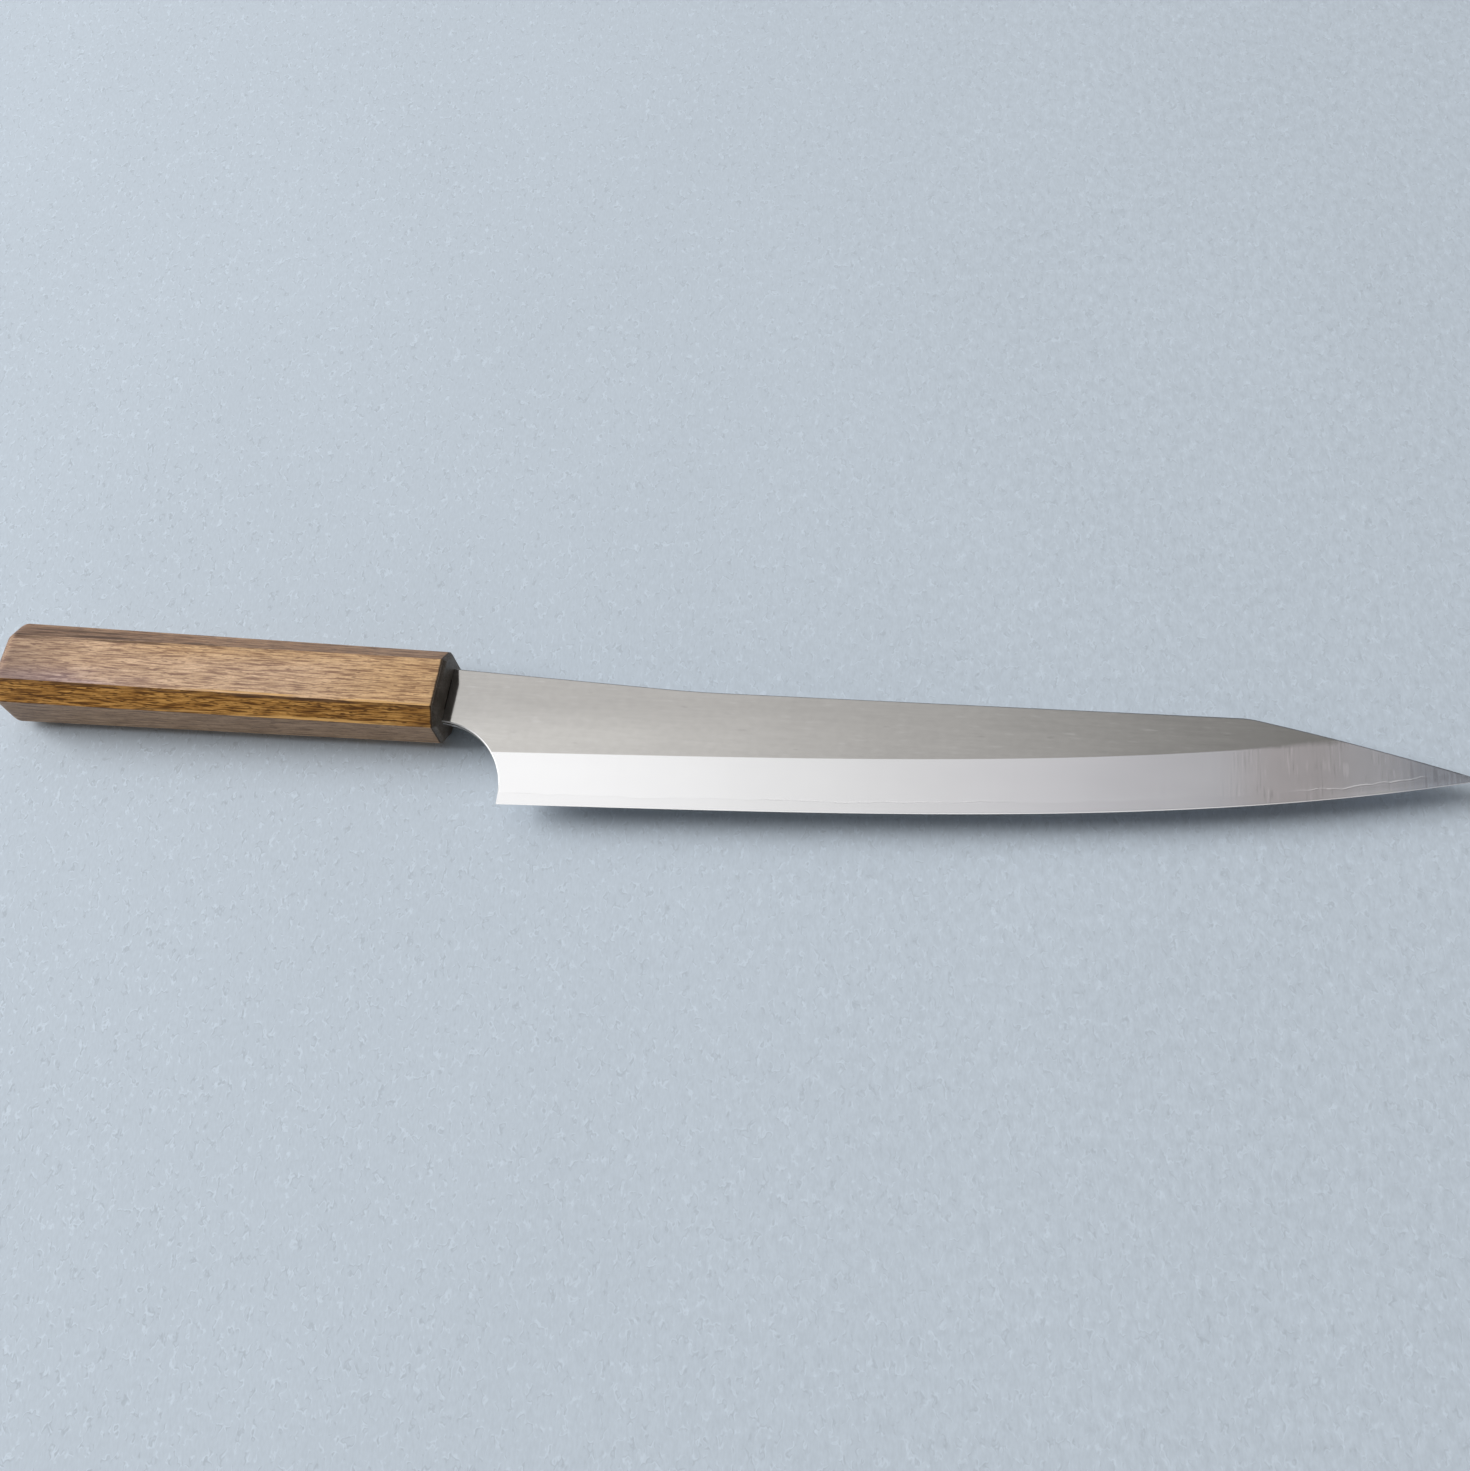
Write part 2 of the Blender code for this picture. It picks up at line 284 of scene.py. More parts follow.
def addObject(name, data):
    made = bpy.data.objects.new(name, data)
    bpy.context.scene.collection.objects.link(made)
    return made


def addPiece(name, mesh, node, material, smoothUnder=None):
    if smoothUnder is not None:
        mesh.shade_smooth()
        mesh.set_sharp_from_angle(angle=math.radians(smoothUnder))
    mesh.materials.append(material)
    piece = addObject(name, mesh)
    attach(piece, "root")
    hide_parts(node)


# Shader helpers

def addNode(tree, kind, inputs=(), **settings):
    # Inputs are a dictionary of sockets by name or number. A value that is a socket gets linked.
    made = tree.nodes.new("ShaderNode" + kind)
    for key, value in settings.items():
        setattr(made, key, value)
    for key, value in dict(inputs).items():
        if isinstance(value, bpy.types.NodeSocket):
            tree.links.new(value, made.inputs[key])
        else:
            made.inputs[key].default_value = value
    return made


def treeOf(*values):  # the node tree of the first socket among the values
    return next(v for v in values if isinstance(v, bpy.types.NodeSocket)).id_data


def calc(operation, a, b=0.0, c=0.0, clamp=False):
    sockets = {0: a, 1: b, 2: c}
    return addNode(treeOf(a, b, c), "Math", sockets, operation=operation, use_clamp=clamp).outputs[0]


def times(*factors):
    product = factors[0]
    for factor in factors[1:]:
        product = calc("MULTIPLY", product, factor)
    return product


def plus(a, b):
    return calc("ADD", a, b)


def minus(a, b):
    return calc("SUBTRACT", a, b)


def larger(a, b):
    return calc("MAXIMUM", a, b)


def magnitude(value):
    return calc("ABSOLUTE", value)


def scaled(value, factor, offset):  # value times factor plus offset
    return calc("MULTIPLY_ADD", value, factor, offset)


def opposite(mask):
    return minus(1.0, mask)


def centred(value):  # noise of 0 to 1 moved round zero
    return minus(value, 0.5)


def remap(value, low, high, toLow=0.0, toHigh=1.0):  # a smooth step from low to high
    sockets = {"Value": value, "From Min": low, "From Max": high, "To Min": toLow, "To Max": toHigh}
    tree = treeOf(*sockets.values())
    return addNode(tree, "MapRange", sockets, interpolation_type="SMOOTHSTEP").outputs[0]


def within(value, near, far):  # 1 up to near of zero on either side, fading to 0 at far
    return remap(magnitude(value), near, far, 1.0, 0.0)


def blendColour(share, a, b, kind="MIX"):
    sockets = {0: share, 6: a, 7: b}
    tree = treeOf(share, a, b)
    return addNode(tree, "Mix", sockets, data_type="RGBA", blend_type=kind).outputs[2]


def blendValue(share, a, b):
    return addNode(treeOf(share, a, b), "Mix", {0: share, 2: a, 3: b}).outputs[0]


def tint(base, tone):
    return blendColour(1.0, base, tone, "MULTIPLY")


def vectorCalc(operation, a, b):
    return addNode(treeOf(a, b), "VectorMath", {0: a, 1: b}, operation=operation).outputs[0]


def split(vector):
    return addNode(treeOf(vector), "SeparateXYZ", {0: vector}).outputs


def stretch(vector, scale=(1, 1, 1), turn=(0, 0, 0)):
    sockets = {"Vector": vector, "Rotation": turn, "Scale": scale}
    return addNode(treeOf(vector), "Mapping", sockets).outputs[0]


def noise(vector, scale=1.0, detail=2.0, rough=0.5, result="Fac"):
    sockets = {"Vector": vector, "Scale": scale, "Detail": detail, "Roughness": rough}
    return addNode(treeOf(vector), "TexNoise", sockets).outputs[result]


def pattern(at, scale, detail, span=None, rough=0.5):
    # Noise stretched along X, Y and Z, and where a span is given, run through it
    made = noise(stretch(at, scale), detail=detail, rough=rough)
    return remap(made, *span) if span else made


def objectPoint(tree):
    return addNode(tree, "TexCoord").outputs["Object"]


def attribute(tree, label):
    return addNode(tree, "Attribute", attribute_name=label).outputs["Fac"]


def newGroup(name, inputs, outputs):
    tree = bpy.data.node_groups.new(name, "ShaderNodeTree")
    for label, kind, value in inputs:
        made = tree.interface.new_socket(label, in_out="INPUT", socket_type=kind)
        if value is not None:
            made.default_value = value
    for label, kind in outputs:
        tree.interface.new_socket(label, in_out="OUTPUT", socket_type=kind)
    return tree, tree.nodes.new("NodeGroupInput").outputs, tree.nodes.new("NodeGroupOutput").inputs


def useGroup(tree, group, inputs):
    return addNode(tree, "Group", inputs, node_tree=group).outputs


def newMaterial(name, roughness, specular=0.5):
    material = bpy.data.materials.new(name)
    material.use_nodes = True
    tree = material.node_tree
    shader = tree.nodes["Principled BSDF"]
    shader.inputs["Roughness"].default_value = roughness
    shader.inputs["Specular IOR Level"].default_value = specular
    return material, tree, shader


def connect(value, socket):
    socket.id_data.links.new(value, socket)


def addBump(shader, height, strength, depth):
    sockets = {"Strength": strength, "Distance": depth, "Height": height}
    connect(addNode(treeOf(height), "Bump", sockets).outputs[0], shader.inputs["Normal"])


def colour(r, g, b):  # sRGB numbers of 0 to 255, made linear
    def linear(v):
        v /= 255
        return v / 12.92 if v <= 0.04045 else ((v + 0.055) / 1.055) ** 2.4

    return (linear(r), linear(g), linear(b), 1.0)


# Fine parallel lines from grinding or brushing: two noises added, stretched the same way
lines = {
    "stretch": (60.0, 4000.0, 1.0),
    "wide": (0.35, 0.4),  # scale and share
    "fine": (1.0, 0.6),
    "fineRough": 0.6,
    "clouds": (45.0, 150.0, 150.0),
}


def makeGrindLines():
    tree, given, result = newGroup(
        "grindLines",
        [("Vector", "NodeSocketVector", None), ("Stretch", "NodeSocketVector", lines["stretch"])],
        [("Lines", "NodeSocketFloat"), ("Clouds", "NodeSocketFloat")],
    )
    place = vectorCalc("MULTIPLY", given["Vector"], given["Stretch"])
    (wideScale, wideShare), (fineScale, fineShare) = lines["wide"], lines["fine"]
    wide = noise(place, scale=wideScale, detail=1.0)
    fine = noise(place, scale=fineScale, detail=2.0, rough=lines["fineRough"])
    connect(scaled(wide, wideShare, scaled(fine, fineShare, -0.5)), result["Lines"])
    connect(centred(noise(stretch(given["Vector"], lines["clouds"]))), result["Clouds"])
    return tree


grindLines = makeGrindLines()

steel = {
    "flatColour": (0.500, 0.487, 0.467, 1.0),
    "bevelColour": (0.900, 0.898, 0.905, 1.0),
    # painted reflection: the bevel cooler beyond mid-blade, darker and bluer at the tip
    "coolReflectionColour": (0.89, 0.88, 0.92, 1.0),  # the bevel beyond mid-blade
    "rosyColour": (0.83, 0.78, 0.79, 1.0),  # the bevel below the clip's corner
    "tipReflectionColour": (0.70, 0.73, 0.81, 1.0),
    # white scatter: real scratches, and painted highlights on the weld line and the choil's corner
    "scratchesAndHighlights": (0.93, 0.93, 0.92, 1.0),  # fresh scratches scatter light like white paint
    # colour of the spine's eased corner where it darkens towards the tip
    "dark": (0.20, 0.20, 0.22, 1.0),
    "flatRoughness": 0.20,
    "bevelRoughness": 0.26,
    "bump": (0.03, 0.02 * mm),
    "flatLines": (90.0, 1500.0, 1.0),  # brushed towards the tip
    "bevelLines": (900.0, 80.0, 1.0),  # ground from ridge to edge
    # Repeats per metre along X, Y and Z, detail, and for some the span that becomes 0 to 1
    "patterns": {
        "bunches": ((120, 70, 0), 1, (0.38, 0.62, 0.3, 1.0)),
        "nicks": ((1700, 120, 1), 0),
        "patches": ((150, 130, 0), 1, (0.44, 0.58)),
        "mottle": ((900, 420, 1), 2),
        "wavers": ((210, 0, 0), 2),
        "strokes": ((290, 500, 0), 1, (0.32, 0.54)),
        "comb": ((700, 60, 0), 2),
        "dashes": ((190, 1500, 0), 0, (0.70, 0.80)),
        "smudges": ((150, 800, 5), 1, (0.30, 0.22)),
        "blotches": ((420, 420, 1), 1),
    },
    "brightNicks": (0.60, 0.74),
    "darkNicks": (0.40, 0.26),
    # What changes along the blade: from, to, and the value at each
    "along": {
        "marks": (0.12, 0.19, 0.10, 0.8),
        "nicks": (0.14, 0.165),
        "nickedAll": (0.190, 0.202, 0.0, 1.3),
        "dimStarts": (-0.03, 0.03),
        "dimEnds": (0.06, 0.10, 1.0, 0.0),
        "cool": (0.03, 0.13),
        "tipDims": (0.204, 0.2115, 1.0, 0.88),
        "nearTip": (0.168, 0.176),
        "edgeHighlight": (0.165, 0.188),
        "keen": (0.150, 0.198, 0.6, 0.3),
        "frays": (0.145, 0.180),
        "paler": (-0.05, 0.08, 0.10, 0.02),
        "flatStarts": (0.048, 0.090, 0.96, 1.0),
        "byCap": (-0.066, -0.048, -0.10, 0.0),  # the wheel hardly reached there
        "darkerSpine": (0.03, 0.17, 0.1, 0.75),
        "onWall": (-0.0515, -0.052),
    },
    "rosyPlace": 0.167,
    "rosyReach": (0.004, 0.022),
    # Distances from the lines of the blade: from, to, and the value at each
    "belowWeld": (0.0, 0.5 * mm, 0.97, 1.0),
    "edgeHighlight": (0.3 * mm, 2.4 * mm, 1.0, 0.0),
    "keen": (0.18 * mm, 0.32 * mm, 1.0, 0.0),
    "paler": (5 * mm, 17 * mm, 1.0, -1.0),
    "rimStarts": (0.006 * mm, 0.02 * mm),
    "rimEnds": (0.32 * mm, 0.40 * mm, 1.0, 0.0),
    "onWall": (0.01 * mm, 0.03 * mm, 0.4, 0.0),
    "darkerSpine": (0.12 * mm, 0.50 * mm, 1.0, 0.0),
    "fray": 2.2 * mm,
    "slack": (1.3 * mm, 0.1 * mm),  # softness of the ridge line: more where it frays, everywhere
    "atTip": (0.196, 0.212),  # along the blade, unevenly
    "tipShift": 0.016,
    # The weld line
    "waver": (1.2 * mm, 0.9 * mm),  # more near the tip, everywhere
    "weldUp": 0.35 * mm,
    "weldShows": (  # from, fully, until, gone
        (18 * mm, 26 * mm, 78 * mm, 100 * mm),
        (160 * mm, 174 * mm, 199 * mm, 202 * mm),
    ),
    "tipStrokes": 0.6,
    "weldHighlight": (0.03 * mm, 0.26 * mm),
    "shadeDown": 0.3 * mm,
    "weldShade": (0.05 * mm, 0.2 * mm),
    # How strongly each shows; of two numbers the first is what the tip adds
    "strength": {
        "marks": 0.45, "nicks": 0.13, "clouds": 0.07, "dim": -0.03, "mottle": 0.35, "edgeHighlight": 0.16,
        "shade": (-0.13, -0.07), "bright": (0.13, 0.27), "weldRelief": 0.4, "roughClouds": 0.04,
        "flatLines": 0.20, "flatClouds": 0.12, "blotches": 0.10, "smudges": -0.10, "dashes": 0.12,
        "roughLines": 0.15, "rim": 0.9,
    },
    # the painted highlights take the same from the shine as the scratches
    "shine": (-0.9, 0.94),  # what scratches take from the metal shine, the shine without them
}


def bladeSteel(name, flatToo):
    # The bevel's finish, and above the ridge line of a cladding the brushed flat. Scratches, and the
    # painted highlights on the weld line and the choil's corner, give up metal shine and scatter
    # instead.
    material, tree, shader = newMaterial(name, steel["bevelRoughness"])
    strength = steel["strength"]
    at = objectPoint(tree)
    x = split(at)[0]
    aboveEdge, aboveWeld = attribute(tree, "aboveEdge"), attribute(tree, "aboveWeld")
    fromChoil = attribute(tree, "fromChoil")

    def grain(label):
        return pattern(at, *steel["patterns"][label])

    def along(label):
        return remap(x, *steel["along"][label])

    def placed(label, distance):  # a range of distances from a line, and one along the blade
        return times(remap(distance, *steel[label]), along(label))

    # Grinding marks grow towards the tip and come in bunches, with short nicks among them
    across = useGroup(tree, grindLines, {"Vector": at, "Stretch": steel["bevelLines"]})
    marks = times(across["Lines"], grain("bunches"), along("marks"))
    nicks = grain("nicks")
    nicks = minus(remap(nicks, *steel["brightNicks"]), remap(nicks, *steel["darkNicks"]))
    patches = larger(grain("patches"), along("nickedAll"))
    nicks = times(nicks, patches, along("nicks"))
    tone = scaled(marks, strength["marks"], 1.0)
    tone = scaled(nicks, strength["nicks"], tone)
    tone = scaled(across["Clouds"], strength["clouds"], tone)
    dim = times(along("dimStarts"), along("dimEnds"))
    tone = times(tone, scaled(dim, strength["dim"], 1.0), along("tipDims"))
    mottle = grain("mottle")
    atTip = remap(scaled(mottle, steel["tipShift"], x), *steel["atTip"])
    rosy = within(minus(x, steel["rosyPlace"]), *steel["rosyReach"])
    # painted reflection in the bevel's colour towards the tip
    base = blendColour(along("cool"), steel["bevelColour"], steel["coolReflectionColour"])
    base = blendColour(rosy, base, steel["rosyColour"])
    base = blendColour(atTip, base, steel["tipReflectionColour"])
    tone = scaled(times(centred(mottle), atTip), strength["mottle"], tone)

    # The weld line wavers, breaks off and starts again, and is whole near the tip. The real seam is
    # drawn as a painted highlight with painted shade just below it.
    nearTip = along("nearTip")
    wavers = times(centred(grain("wavers")), scaled(nearTip, *steel["waver"]))
    offWeld = plus(wavers, plus(aboveWeld, -steel["weldUp"]))
    shows = [
        times(remap(x, first, full), remap(x, until, gone, 1.0, 0.0))
        for first, full, until, gone in steel["weldShows"]
    ]
    strokes = larger(grain("strokes"), times(nearTip, steel["tipStrokes"]))
    weldShows = times(plus(*shows), strokes)
    bright = times(within(offWeld, *steel["weldHighlight"]), weldShows)
    shade = times(within(plus(offWeld, steel["shadeDown"]), *steel["weldShade"]), weldShows)
    tone = scaled(shade, scaled(nearTip, *strength["shade"]), tone)
    # a painted highlight along the edge, towards the tip
    tone = scaled(placed("edgeHighlight", aboveEdge), strength["edgeHighlight"], tone)
    finish = tint(base, times(tone, remap(aboveWeld, *steel["belowWeld"])))
    scratchesAndHighlights = larger(times(bright, scaled(nearTip, *strength["bright"])), placed("keen", aboveEdge))
    roughness = scaled(across["Clouds"], strength["roughClouds"], steel["bevelRoughness"])
    height = times(bright, strength["weldRelief"])
    if flatToo:
        brushed = useGroup(tree, grindLines, {"Vector": at, "Stretch": steel["flatLines"]})
        fromRidge, belowSpine = attribute(tree, "aboveRidge"), attribute(tree, "belowSpine")
        # Crisp for most of its length, the ridge line frays where it runs out into the clip
        frays = along("frays")
        fray = times(centred(grain("comb")), frays, steel["fray"])
        slack = scaled(frays, *steel["slack"])
        onFlat = remap(plus(fromRidge, fray), times(slack, -1.0), slack)
        tone = scaled(brushed["Lines"], strength["flatLines"], 1.0)
        tone = scaled(brushed["Clouds"], strength["flatClouds"], tone)
        tone = scaled(centred(grain("blotches")), strength["blotches"], tone)
        tone = scaled(grain("smudges"), strength["smudges"], tone)
        tone = times(tone, plus(placed("paler", fromRidge), along("flatStarts")))
        finish = blendColour(onFlat, finish, tint(steel["flatColour"], tone))
        dashes = grain("dashes")
        scratchesAndHighlights = blendValue(onFlat, scratchesAndHighlights, times(dashes, strength["dashes"]))
        byCap = plus(along("byCap"), steel["flatRoughness"])
        flatRoughness = scaled(brushed["Lines"], strength["roughLines"], byCap)
        roughness = blendValue(onFlat, roughness, flatRoughness)
        height = blendValue(onFlat, height, brushed["Lines"])
        # The eased corner of the choil carries a painted highlight; that of the spine darkens towards
        # the tip
        rim = times(remap(fromChoil, *steel["rimStarts"]), remap(fromChoil, *steel["rimEnds"]))
        finish = blendColour(placed("darkerSpine", belowSpine), finish, steel["dark"])
        scratchesAndHighlights = larger(scratchesAndHighlights, times(rim, strength["rim"]))
    else:
        scratchesAndHighlights = larger(scratchesAndHighlights, placed("onWall", fromChoil))
    connect(blendColour(scratchesAndHighlights, finish, steel["scratchesAndHighlights"]), shader.inputs["Base Color"])
    connect(scaled(scratchesAndHighlights, *steel["shine"]), shader.inputs["Metallic"])
    connect(roughness, shader.inputs["Roughness"])
    addBump(shader, height, *steel["bump"])
    return material


# Blade pieces

bladeStationList = bladeStations()


def claddingRings(side):
    # One outer layer. Each ring climbs the outer surface from the weld line to the spine, then
    # comes back down the flat inner face. Levels crowd at the choil and the spine.
    x, bottom, top = bladeStationList.T
    inner = coreHalf(x) + blade["weldGap"]
    last = np.argmax((spineY(x) <= weldY(x)) & (x > cornerX))
    x, bottom, top, inner = x[:last + 1], bottom[:last + 1], top[:last + 1], inner[:last + 1]
    foot = np.minimum(np.maximum(weldY(x), bottom), top)
    onArc = x <= blade["heelReach"]
    arcShare = np.clip(x, 0, blade["heelReach"]) / blade["heelReach"]
    steepness = np.sqrt(np.clip(1 - arcShare ** 2, blade["steepest"], 1))
    most = blade["bandShare"] * (top - foot)
    lowBand = np.minimum(np.where(onArc, blade["rimWidth"] / steepness, blade["plainBand"]), most)
    topBand = np.minimum(blade["spineEase"], most)
    crowd = np.array(blade["crowd"])
    lowEnd, topEnd = foot + lowBand, top - topBand
    ridge = np.clip(edgeY(x) + bevelRise(x), lowEnd, topEnd)
    onBevel = np.linspace(0, 1, blade["bevelLevels"], endpoint=False)
    onFlat = np.linspace(0, 1, blade["flatLevels"])
    levels = np.concatenate([
        foot[:, None] + lowBand[:, None] * crowd,
        mix(lowEnd[:, None], ridge[:, None], onBevel),
        mix(ridge[:, None], topEnd[:, None], onFlat),
        top[:, None] - topBand[:, None] * crowd[::-1],
    ], 1)
    xs = np.broadcast_to(x[:, None], levels.shape)
    wedge = np.maximum(halfThickness(xs, levels) - inner[:, None], blade["thinnest"])
    wall = np.where(xs < 0, 1.0, np.maximum(choilDistance(xs, levels), 0))
    drop = np.maximum(
        easeOff(wall, blade["rimWidth"]),
        easeOff(top[:, None] - levels, blade["spineEase"]),
    )
    drop = np.minimum(drop, blade["easeShare"] * wedge)
    outer = np.stack([xs, levels, side * (inner[:, None] + wedge - drop)], -1)
    back = np.stack([np.stack([x, y, side * inner], -1) for y in (top, foot)], 1)
    return np.concatenate([outer, back], 1)


def coreRings():
    # The middle layer: small bevel, a strip of wide bevel, then parallel faces to the spine
    x, bottom, top = bladeStationList.T
    half = coreHalf(x)
    small = np.clip(edgeY(x) + blade["microHeight"], bottom, top)
    parallel = np.clip(footY(x, half), bottom, top)
    strip = [mix(small, parallel, share) for share in blade["stripShares"]]
    lower = [bottom, mix(bottom, small, 0.5), small, *strip]
    levels = np.stack([*lower, parallel, mix(parallel, top, 0.5), top], 1)
    xs = np.broadcast_to(x[:, None], levels.shape)
    z = np.minimum(half[:, None], halfThickness(xs, levels))
    shown, rear = np.stack([xs, levels, z], -1), np.stack([xs, levels, -z], -1)
    return np.concatenate([shown, rear[:, ::-1]], 1)


def bladeAttributes(rings):  # distances in metres from the lines that the finishes follow
    x, y = rings[..., 0], rings[..., 1]
    rise = y - edgeY(x)
    return [
        ("aboveEdge", rise),
        ("aboveRidge", rise - bevelRise(x)),
        ("aboveWeld", y - weldY(x)),
        ("fromChoil", np.maximum(choilDistance(x, y), 0)),
        ("belowSpine", np.maximum(spineY(x) - y, 0)),
    ]


def addBladePiece(name, rings, node, material):
    addPiece(name, gridMesh(name, layDown(rings), bladeAttributes(rings)), node, material)


claddingSteel = bladeSteel("claddingSteel", True)
for side, name, node in (
    (1, "claddingShowSide", "cladding_show_side"),
    (-1, "claddingRearSide", "cladding_rear_side"),
):
    addBladePiece(name, claddingRings(side), node, claddingSteel)
addBladePiece("bladeCore", coreRings(), "blade_core", bladeSteel("coreSteel", False))
print("blade: two claddings and the core")


# Handle pieces

def handleCorners(x):  # the eight corners (y, z), counter-clockwise, one row for each x
    back = -x[:, None] / handle["length"]
    size = mix(np.array(handle["frontSize"]), np.array(handle["buttSize"]), back) / 2
    flat = size - mix(np.array(handle["frontChamfer"]), np.array(handle["buttChamfer"]), back)
    quarter = [np.stack([size[:, 0], flat[:, 1]], -1), np.stack([flat[:, 0], size[:, 1]], -1)]
    upper = quarter + [c * (-1, 1) for c in quarter[::-1]]
    return np.stack(upper + [-c for c in upper], 1)


def roundedRings(x, inset, radius):
    # Each corner becomes an arc between its two sides, moved inwards by inset. Also gives, for
    # the grain, the way each point faces and its share of the way across its own flat.
    corners = handleCorners(x)
    inset, radius = (np.broadcast_to(v, x.shape)[:, None, None] for v in (inset, radius))
    along = np.roll(corners, -1, 1) - corners
    along /= np.linalg.norm(along, axis=-1, keepdims=True)
    outward = np.stack([along[..., 1], -along[..., 0]], -1)
    before, alongBefore = np.roll(outward, 1, 1), np.roll(along, 1, 1)
    bisector = (before + outward) / (1 + np.sum(before * outward, -1, keepdims=True))
    centre = corners - bisector * (inset + radius)
    shares = np.linspace(0, 1, handle["arcSteps"])
    turns = [mix(before, outward, t) for t in shares]
    turns = [turn / np.linalg.norm(turn, axis=-1, keepdims=True) for turn in turns]
    arc = [centre + radius * turn for turn in turns]
    first, last = arc[0] - handle["support"] * alongBefore, arc[-1] + handle["support"] * along
    points = np.stack([first, *arc, last], 2).reshape(len(x), -1, 2)
    facing = np.stack([before, *turns, outward], 2).reshape(len(x), -1, 2)
    across = np.tile(np.concatenate([[1], 1 - shares, [0]]), (len(x), len(corners[0])))
    xs = np.broadcast_to(x[:, None, None], points[..., :1].shape)
    return np.concatenate([xs, points], -1), facing, across


nearZero = 1e-9
room = handle["slotRoom"]


def slotRings(stations, ring, spare):
    # The slot's rectangle at each (x, bottom, top), met in the directions of the ring's points
    direction = ring[:, 1:] / np.linalg.norm(ring[:, 1:], axis=-1, keepdims=True)
    steep = np.maximum(np.abs(direction), nearZero)
    halfZ = blade["mouthThickness"] / 2 + spare
    rings = []
    for x, bottom, top in stations:
        reach = np.minimum((top - bottom) / 2 / steep[:, 0], halfZ / steep[:, 1])
        yz = direction * reach[:, None] + ((top + bottom) / 2, 0)
        rings.append(np.concatenate([np.full((len(yz), 1), x), yz], -1))
    return np.array(rings)


def mouth(spare):  # bottom and top of the slot for the neck
    return -blade["neckBelow"] - spare, blade["neckAbove"] + spare


def woodRings():
    # From the butt, rounded by a quarter ellipse, to the front face, then back down the bore
    turn = np.linspace(0, math.pi / 2, handle["domeSteps"])
    deep, inwards = handle["domeSize"]
    domeX = -handle["length"] + deep * (1 - np.cos(turn))
    body = np.linspace(*handle["bodyEnds"], handle["bodySteps"])
    x = np.concatenate([domeX, domeX[-1:] + handle["afterDome"], body, handle["frontX"]])
    inset, radius = np.zeros(len(x)), np.full(len(x), handle["cornerRadius"])
    inset[:len(turn)] = inwards * (1 - np.sin(turn))
    inset[-2:] = handle["frontInset"]
    radius[:len(turn)] = mix(handle["cornerRadius"], handle["buttCornerRadius"], np.cos(turn) ** 2)
    outer, facing, across = roundedRings(x, inset, radius)
    tang = [  # (x, half height) behind the shoulder
        (-blade["neckInset"] - blade["shoulder"] - room, blade["tangRoot"] + room),
        (-blade["tangLength"] - room, blade["tangEnd"] + room),
    ]
    stations = [(0.0, *mouth(room)), (-blade["neckInset"] - room, *mouth(room))]
    bore = slotRings(stations + [(x, -half, half) for x, half in tang], outer[-1], room)
    plain = np.zeros((len(bore), across.shape[1]))
    attributes = (("faceY", facing[..., 0]), ("faceZ", facing[..., 1]), ("across", across))
    attributes = [(label, np.concatenate([values, plain])) for label, values in attributes]
    return np.concatenate([outer, bore]), attributes


def capRings():
    # Rear face, side, chamfer with eased corners, front face, then back through the slot
    gap, thick, cut = handle["glueGap"], handle["capThickness"], handle["capChamfer"]
    rear, inwards = handle["capRear"]
    flat, sloped = handle["capEase"]
    steps = [  # X and inset of each ring
        (gap, inwards),
        (gap + rear, 0),
        (thick - cut - flat, 0),
        (thick - cut + sloped, sloped),
        (thick - sloped, cut - sloped),
        (thick, cut + flat),
        (thick, cut + handle["capFace"]),
    ]
    x, inset = np.array(steps).T
    outer = roundedRings(x, inset, handle["cornerRadius"])[0]
    # The black filler comes up flush with the cap: only a narrow slit stays open round the blade
    lip, behind = handle["slitWidth"], thick - handle["fillerFace"] + handle["fillerStep"]
    slit = slotRings([(thick, *mouth(lip)), (behind, *mouth(lip))], outer[0], lip)
    slot = slotRings([(behind, *mouth(room)), (gap, *mouth(room))], outer[0], room)
    return np.concatenate([outer, slit, slot])
